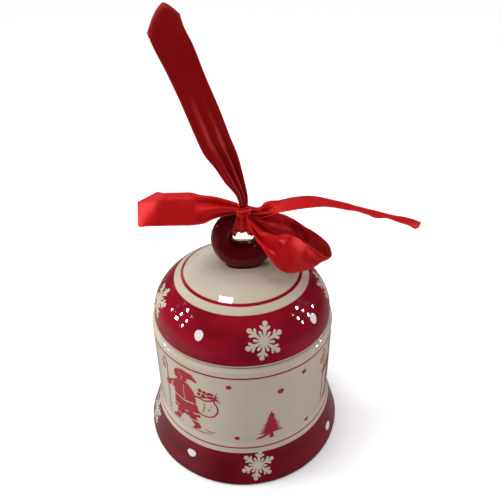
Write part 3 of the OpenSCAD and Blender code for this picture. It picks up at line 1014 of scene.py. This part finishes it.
# right tail: far edge, near edge
RIGHT_TAIL = [
    [[1.2, 1.5, 1.2], [1.2, -0.8, 0], 0, 0],
    [[3.5, 2, 1], [3.5, -0.5, -0.5], 0, 0],
    [[6.5, 3, 0], [5.5, -1.5, -2], -0.1, 0],
    [[10, 6.5, 0], [8.5, -2.5, -2], -0.3, 0],
    [[16.5, 10, 0], [14, -4, 0.5], -0.4, 0],
    [[24, 12, 0.5], [22, -3, 1.5], -0.4, 0],
    [[31.5, 13.5, 0], [28.5, -1.5, 1.5], -0.3, 0],
    [[39.5, 14, -2], [36, 0, 1], -0.2, 0],
    [[49, 14.5, -5], [44, 1.5, -1], -0.1, 0],
    [[57, 15, -7.5], [49.5, 2.5, -2.5], 0.1, 0],
    [[65, 15.5, -10], [57.5, 3.5, -6], 0.2, 0],
    [[70, 16.5, -12], [63.5, 4, -7], 0.1, 0],
    [[75.5, 17.5, -13.5], [69.5, 4.5, -9.5], -0.2, 0],
    [[81, 18.5, -15.5], [75, 5.5, -12], -0.3, 0],
    [[85, 19, -17.5], [79, 6, -14.5], -0.3, 0]]

# left tail, behind the left loop: upper edge, lower edge
LEFT_TAIL = [
    [[-1.5, 2.8, 1], [-1.5, 1.2, 0], 0, 0],
    [[-8.5, 7.5, 0.5], [-8.5, 3.5, -2], 0, 0],
    [[-15.5, 12, 0], [-15.5, 5, -4.5], 0.1, 0],
    [[-22, 16, -0.5], [-23, 7.5, -8], 0.2, 0],
    [[-28, 18, -1], [-29, 8, -9], 0.2, 0],
    [[-34, 18.5, -2], [-35, 8.5, -10], 0.3, 0]]

# hanging loop: left edge, right edge
HANGING = [
    [[-1.5, 0, 1.8], [2, 1.5, 1.2], 0, 0],
    [[-2, 1, 4], [2, 3.5, 5], 0, 0],
    [[-3.5, 2, 7], [1.5, 4.5, 8], 0, 0],
    [[-7.5, 3.5, 11.5], [0, 7, 14.5], 0.1, 0],
    [[-11.5, 6, 17], [-2, 10.5, 21.5], 0.2, 0],
    [[-16, 8, 22.5], [-5, 13.5, 28.5], 0.2, 0],
    [[-20, 12, 30.5], [-8.5, 17.5, 37.5], 0.2, 0],
    [[-25.5, 18, 42.5], [-14.5, 24.5, 50.5], 0.1, 0],
    [[-30.5, 23, 52.5], [-19, 29.5, 61.5], 0.1, 0],
    [[-35, 27, 60.5], [-22.5, 32.5, 68], 0.1, 0],
    [[-37.5, 30, 65.5], [-24, 34, 72], 0.1, 0],
    [[-38, 32.5, 66.5], [-24.5, 36.5, 73], 0.1, 0],
    [[-37.5, 34.5, 64.5], [-24.5, 38.5, 71], 0.1, 0],
    [[-35, 32.5, 59], [-23.5, 37.5, 66.5], 0.1, 0],
    [[-30.5, 27.5, 51.5], [-20, 34, 60], 0.1, 0],
    [[-25.5, 22, 41], [-15, 28.5, 49.5], 0.1, 0],
    [[-20, 16, 29], [-9.5, 21.5, 36], 0.1, 0],
    [[-15.5, 12, 20.5], [-5.5, 17.5, 27], 0.1, 0],
    [[-11.5, 9.5, 15.5], [-3, 14, 20.5], 0.1, 0],
    [[-7, 7, 10], [-0.5, 10.5, 13], 0, 0],
    [[-3, 5, 6], [1, 7.5, 6.5], 0, 0],
    [[-1.5, 3.5, 3.5], [1.5, 5.5, 3.5], 0, 0],
    [[-1.2, 2, 1.5], [1.5, 3.2, 1.2], 0, 0]]


def make_wrap(material):
    """The ribbon fanning from the knot down over the ring, through its eye and up behind."""
    # degrees round the section from the top towards the front, stand-off, degrees spread each way
    around = np.array([
        [22, 2.6, 7], [40, 1.9, 9], [60, 1.1, 14], [85, 0.6, 23], [110, 0.5, 35], [140, 0.6, 50],
        [172, 0.9, 61], [200, 0.8, 58], [235, 0.5, 42], [270, 0.4, 27], [305, 0.5, 17], [335, 0.7, 11],
        [358, 1.0, 8]], float)
    fine = smooth_rows([[row] for row in around], 7)
    count, points, uvs, run, last = 49, [], [], 0.0, None
    for degrees, proud, spread in fine:
        section_turn = math.radians(degrees)
        tube = RING_TUBE_R + proud
        reach = (RING_R - RING_TUBE_R) + tube * math.cos(section_turn)
        width = 2 * math.radians(spread) * max(reach, 4)
        side, rise = section(min(width, RIBBON_W), 0, 0, 0.5, 2.5, 0.6 + degrees * 0.004, count)
        here = np.array([-tube * math.sin(section_turn), reach])
        run += 0 if last is None else float(np.linalg.norm(here - last))
        last = here
        for k in range(count):
            turn = math.radians(spread) * (2 * side[k] / side[-1] - 1)
            lift = tube + 0.35 + 0.55 * rise[k] * min(1, 0.4 + abs(math.sin(section_turn)) * 0.6)
            lift = max(lift, RING_TUBE_R + 0.25)
            out = (RING_R - RING_TUBE_R) + lift * math.cos(section_turn)
            points.append(np.array([RING_X + out * math.sin(turn), -lift * math.sin(section_turn),
                                    RING_Z + out * math.cos(turn)]))
            uvs.append((WEAVE_WIDTH * k / (count - 1), run * WEAVE_PER_MM))
    faces = strip_faces(len(fine), count)
    return cloth("satin_wrap", points, faces, uvs, material)


def make_knot(material):
    """The narrow turn of ribbon that holds the gathered middle of the bow."""
    stations = []
    for k in range(17):
        turn = math.radians(-200 + 400 * k / 16)
        grow = 1 + 0.08 * k / 16
        x, y, lean = 2.4 * grow * math.sin(turn), -2.1 * grow * math.cos(turn), 0.3 * math.sin(turn)
        stations.append([[0.85 * x, 0.8 * y, 1.9 + lean], [1.05 * x, 1.1 * y, -1.7 + lean], 0, 0])
    return ribbon("satin_knot", stations, material, pleats=2.5, phase=0.6,
                  ripple=0.06, seed=7.3, fullness=0.75)


def make_ribbons():
    red = satin("satin_red", RED, RED_DEEP, RED_EDGE)
    # partly the satin's dull back side and partly painted shade: a darker copy of the red satin
    shade = satin("satin_dull_side_and_painted_shade", DULL_AND_SHADED_RED, DULL_AND_SHADED_RED_DEEP, DULL_AND_SHADED_RED_EDGE)
    wrap = make_wrap(red)
    knot = make_knot(red)
    left = ribbon("satin_loop_left", LEFT_LOOP, red, seed=1.7, pleats=2,
                  nudge=left_loop_end)
    right = ribbon("satin_loop_right", RIGHT_LOOP, red, seed=3.1, phase=0.8,
                   pleats=2)
    tail_right = ribbon("satin_tail_right", RIGHT_TAIL, red, seed=4.9, phase=0.4,
                        pleats=1.5, nudge=round_end)
    tail_left = ribbon("satin_tail_left", LEFT_TAIL, shade, seed=6.2)
    hanging = ribbon("satin_hanging_loop", HANGING, shade, seed=8.8, phase=1.6,
                     pleats=2.5, fullness=0.2, nudge=hanging_loop_end)
    for piece, node in ((wrap, "ribbon_wrap"), (knot, "ribbon_knot"), (left, "bow_loop_left"),
                        (right, "bow_loop_right"), (tail_right, "ribbon_tail_right"),
                        (tail_left, "ribbon_tail_left"), (hanging, "hanging_loop")):
        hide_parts(node)
    for piece in (wrap, knot, left, right, tail_right, tail_left):
        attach(piece, "lid")
    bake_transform(hanging)


# ---------- assembly ----------

def coat(node, material):
    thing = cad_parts[node]
    thing.data.materials.clear()
    thing.data.materials.append(material)


make_camera()
make_studio()
coat("jar_body", jar_glaze())
coat("lid", lid_glaze())
make_prints()
make_ring(plain_glaze("ring_glaze", RING_MAROON, RING_DEEP, 0.06, 0.32))
make_ribbons()
